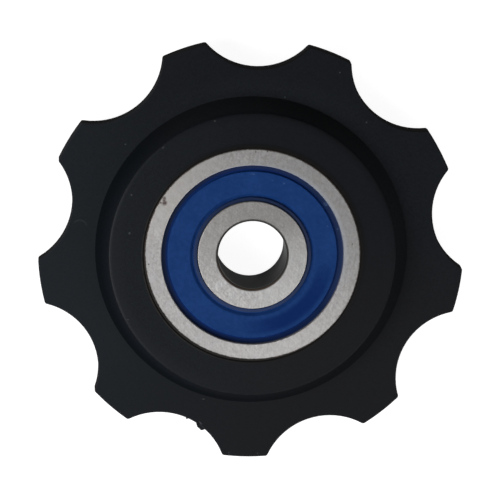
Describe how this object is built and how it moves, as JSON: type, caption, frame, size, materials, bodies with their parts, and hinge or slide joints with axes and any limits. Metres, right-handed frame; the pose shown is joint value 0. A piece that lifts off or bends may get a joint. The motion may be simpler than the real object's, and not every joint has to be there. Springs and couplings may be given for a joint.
{
  "type": "derailleur pulley",
  "caption": "Toothed plastic jockey wheel for a bicycle derailleur, with a raised hub on both sides and a pressed-in sealed ball bearing.",
  "frame": {"origin": "centre of the bearing's bore, at half the bearing's width", "axes": "+Z along the bore, out of the face that the picture shows; +X and +Y lie in the wheel's middle plane"},
  "size_m": [0.0373, 0.037, 0.006],
  "materials": {
    "wheel_plastic": "fine matte moulded black",
    "ring_steel": "ground faces with a fine grain",
    "seal_rubber": "smooth blue moulded rubber",
    "ball_steel": "polished bearing steel",
    "cage_steel": "pressed sheet steel"
  },
  "bodies": {
    "inner_ring": {"inner_ring": "ring_steel"},
    "wheel": {"toothed_wheel": "wheel_plastic", "outer_ring": "ring_steel", "seal_front": "seal_rubber", "seal_back": "seal_rubber"},
    "cage": {"cage_front": "cage_steel", "cage_back": "cage_steel", "cage_rivets": "cage_steel"},
    "ball_1": {"ball_1": "ball_steel"},
    "ball_2": {"ball_2": "ball_steel"},
    "ball_3": {"ball_3": "ball_steel"},
    "ball_4": {"ball_4": "ball_steel"},
    "ball_5": {"ball_5": "ball_steel"},
    "ball_6": {"ball_6": "ball_steel"},
    "ball_7": {"ball_7": "ball_steel"}
  },
  "joints": [
    {"name": "wheel_spin", "type": "hinge", "parent": "inner_ring", "child": "wheel", "pos_m": [0, 0, 0], "axis": [0, 0, 1], "continuous": true},
    {"name": "cage_orbit", "type": "hinge", "parent": "inner_ring", "child": "cage", "pos_m": [0, 0, 0], "axis": [0, 0, 1], "continuous": true},
    {"name": "ball_1_roll", "type": "hinge", "parent": "cage", "child": "ball_1", "pos_m": [0, 0.00625, 0], "axis": [0, 0, 1], "continuous": true},
    {"name": "ball_2_roll", "type": "hinge", "parent": "cage", "child": "ball_2", "pos_m": [-0.00489, 0.0039, 0], "axis": [0, 0, 1], "continuous": true},
    {"name": "ball_3_roll", "type": "hinge", "parent": "cage", "child": "ball_3", "pos_m": [-0.00609, -0.00139, 0], "axis": [0, 0, 1], "continuous": true},
    {"name": "ball_4_roll", "type": "hinge", "parent": "cage", "child": "ball_4", "pos_m": [-0.00271, -0.00563, 0], "axis": [0, 0, 1], "continuous": true},
    {"name": "ball_5_roll", "type": "hinge", "parent": "cage", "child": "ball_5", "pos_m": [0.00271, -0.00563, 0], "axis": [0, 0, 1], "continuous": true},
    {"name": "ball_6_roll", "type": "hinge", "parent": "cage", "child": "ball_6", "pos_m": [0.00609, -0.00139, 0], "axis": [0, 0, 1], "continuous": true},
    {"name": "ball_7_roll", "type": "hinge", "parent": "cage", "child": "ball_7", "pos_m": [0.00489, 0.0039, 0], "axis": [0, 0, 1], "continuous": true}
  ],
  "couplings": [
    {"joint": "cage_orbit", "follows": "wheel_spin", "ratio": 0.64},
    {"joint": "ball_1_roll", "follows": "wheel_spin", "ratio": 1.6457},
    {"joint": "ball_2_roll", "follows": "wheel_spin", "ratio": 1.6457},
    {"joint": "ball_3_roll", "follows": "wheel_spin", "ratio": 1.6457},
    {"joint": "ball_4_roll", "follows": "wheel_spin", "ratio": 1.6457},
    {"joint": "ball_5_roll", "follows": "wheel_spin", "ratio": 1.6457},
    {"joint": "ball_6_roll", "follows": "wheel_spin", "ratio": 1.6457},
    {"joint": "ball_7_roll", "follows": "wheel_spin", "ratio": 1.6457}
  ]
}
